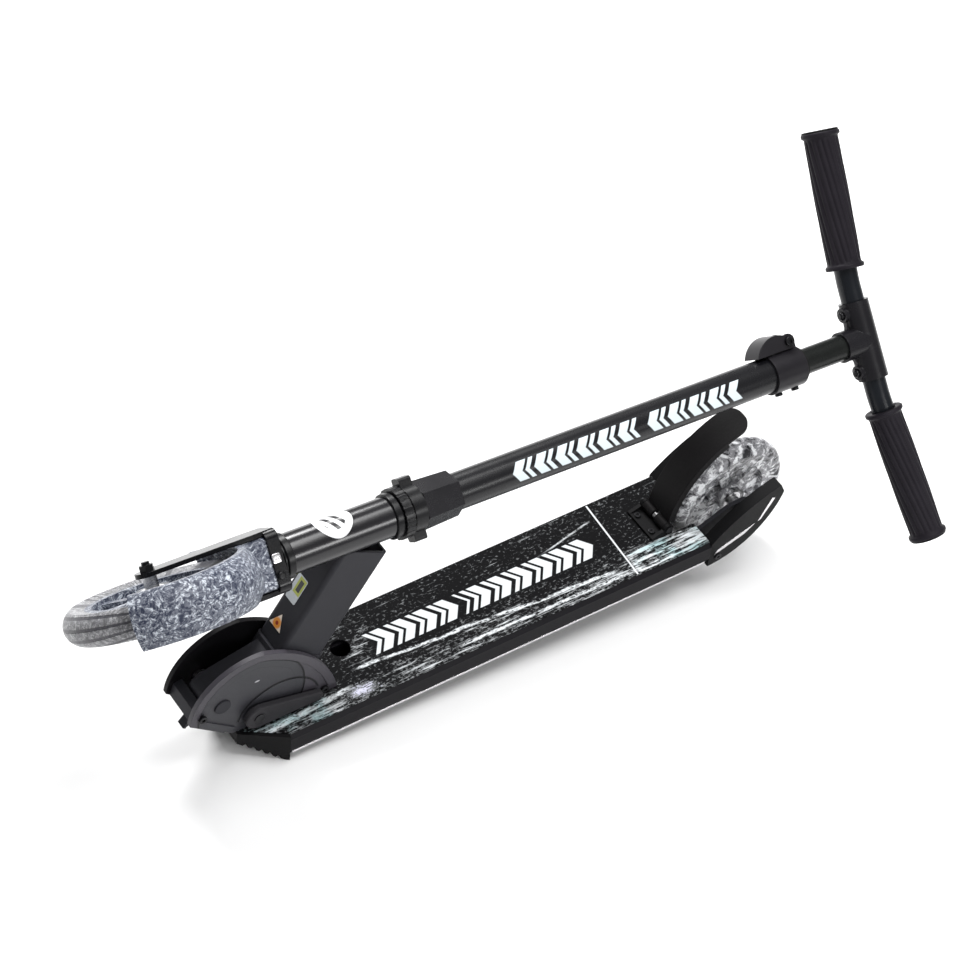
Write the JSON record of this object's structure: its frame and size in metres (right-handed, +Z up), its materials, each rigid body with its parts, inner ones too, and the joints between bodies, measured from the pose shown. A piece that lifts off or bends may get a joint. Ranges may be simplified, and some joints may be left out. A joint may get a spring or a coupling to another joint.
{
  "type": "folding kick scooter",
  "caption": "Folding kick scooter stored folded: slotted deck, fan plates, pivoting neck, telescoping steering column, sprung rear brake paddle, small urethane wheels.",
  "frame": {"origin": "centre of the folded scooter's bounding box at ground level", "axes": "+X from the rear wheel towards the deck's nose and the length of the folded scooter, +Y to the rider's left, +Z up"},
  "size_m": [0.9966, 0.347, 0.4161],
  "materials": {
    "deck_black": "black powder coat over an aluminium extrusion",
    "moulded_black": "fine moulded grain",
    "deck_print": "black grip sheet with a pale worn print",
    "gunmetal": "satin dark grey paint",
    "bolt_black": "black oxide",
    "steel": "bright zinc",
    "bright_trim": "bright strip",
    "lever_grey": "satin moulded",
    "gloss_black": "gloss black paint",
    "headset_black": "satin black",
    "label": "printed film",
    "fork_black": "gloss black paint",
    "tube_black": "gloss black anodised",
    "nylon": "natural nylon",
    "marble": "grey and white marbled moulding",
    "clamp_black": "satin black",
    "tyre_marble": "grey, white and black marbled cast urethane",
    "stem_black": "satin black anodised",
    "bar_black": "black anodised",
    "grip_rubber": "fluted rubber",
    "button_black": "polished",
    "paddle_black": "fine moulded grain",
    "pad_black": "plain rubber"
  },
  "bodies": {
    "deck": {"deck_frame": "deck_black", "nose_block": "moulded_black", "deck_sheet": "deck_print", "base_block": "moulded_black", "left_fan_plate": "gunmetal", "right_fan_plate": "gunmetal", "front_stay": "gunmetal", "plate_bolts": "bolt_black", "pivot_bolt": "gunmetal", "dropouts": "gunmetal", "rear_axle": "bolt_black", "rear_spacers": "steel", "rear_covers": "moulded_black", "bright_trim": "bright_trim", "deck_screws": "bolt_black", "brake_bracket": "moulded_black", "brake_pin": "bolt_black"},
    "lock": {"lock_shaft": "bolt_black", "lock_nut": "bolt_black", "lock_lever": "lever_grey"},
    "neck": {"down_tube": "gunmetal", "neck_shoe": "gunmetal", "pivot_sleeve": "steel", "head_tube": "gloss_black", "head_cups": "headset_black", "head_bearings": "steel", "neck_labels": "label"},
    "steering": {"fork": "fork_black", "steerer": "steel", "crown_race": "headset_black", "headset_nut": "headset_black", "steerer_clamp": "headset_black", "hex_sleeve": "tube_black", "main_tube": "tube_black", "tube_bushes": "nylon", "front_mudguard": "marble", "front_axle": "bolt_black", "front_spacers": "steel", "clamp_collar": "clamp_black", "clamp_pin": "bolt_black", "collar_screws": "bolt_black"},
    "clamp": {"clamp_lever": "clamp_black"},
    "front_wheel": {"front_tyre": "tyre_marble", "front_wheel_core": "marble", "front_bearings": "steel"},
    "rear_wheel": {"rear_tyre": "tyre_marble", "rear_wheel_core": "marble", "rear_bearings": "steel"},
    "handlebar": {"stem_tube": "stem_black", "stem_foot": "nylon", "tee": "tube_black", "handlebars": "bar_black", "grips": "grip_rubber", "end_plugs": "moulded_black"},
    "left_button": {"left_button": "button_black"},
    "right_button": {"right_button": "button_black"},
    "brake": {"brake_paddle": "paddle_black", "brake_pad": "pad_black", "brake_spring": "steel"}
  },
  "joints": [
    {"name": "neck_fold", "type": "hinge", "parent": "deck", "child": "neck", "pos_m": [0.33547, 0, 0.08522], "axis": [0, 1, 0], "range_deg": [0, 80]},
    {"name": "steering", "type": "hinge", "parent": "neck", "child": "steering", "pos_m": [0.28181, 0, 0.24837], "axis": [-0.9999, 0, -0.0111], "range_deg": [-105, 15]},
    {"name": "front_wheel_spin", "type": "hinge", "parent": "steering", "child": "front_wheel", "pos_m": [0.40731, 0, 0.24976], "axis": [0.0079, 0.7009, -0.7132], "continuous": true},
    {"name": "rear_wheel_spin", "type": "hinge", "parent": "deck", "child": "rear_wheel", "pos_m": [-0.31257, 0, 0.0725], "axis": [0, 1, 0], "continuous": true},
    {"name": "brake_press", "type": "hinge", "parent": "deck", "child": "brake", "pos_m": [-0.21913, 0, 0.0767], "axis": [0, -1, 0], "range_deg": [0, 14], "stiffness_Nm_per_rad": 6, "springref_deg": -14.32, "deforming": ["brake_spring"]},
    {"name": "lock_turn", "type": "hinge", "parent": "deck", "child": "lock", "pos_m": [0.29562, 0, 0.05664], "axis": [0, 1, 0], "range_deg": [0, 90]},
    {"name": "clamp_open", "type": "hinge", "parent": "steering", "child": "clamp", "pos_m": [-0.35637, -0.01963, 0.26128], "axis": [0.0078, -0.7133, -0.7009], "range_deg": [0, 110]},
    {"name": "stem_height", "type": "slide", "parent": "steering", "child": "handlebar", "axis": [-0.9999, 0, -0.0111], "range_m": [-0.055, 0.16]},
    {"name": "left_button_press", "type": "slide", "parent": "handlebar", "child": "left_button", "axis": [-0.9999, 0, -0.0111], "range_m": [0, 0.003], "stiffness_N_per_m": 600, "springref_m": -0.003},
    {"name": "right_button_press", "type": "slide", "parent": "handlebar", "child": "right_button", "axis": [-0.9999, 0, -0.0111], "range_m": [0, 0.003], "stiffness_N_per_m": 600, "springref_m": -0.003}
  ]
}
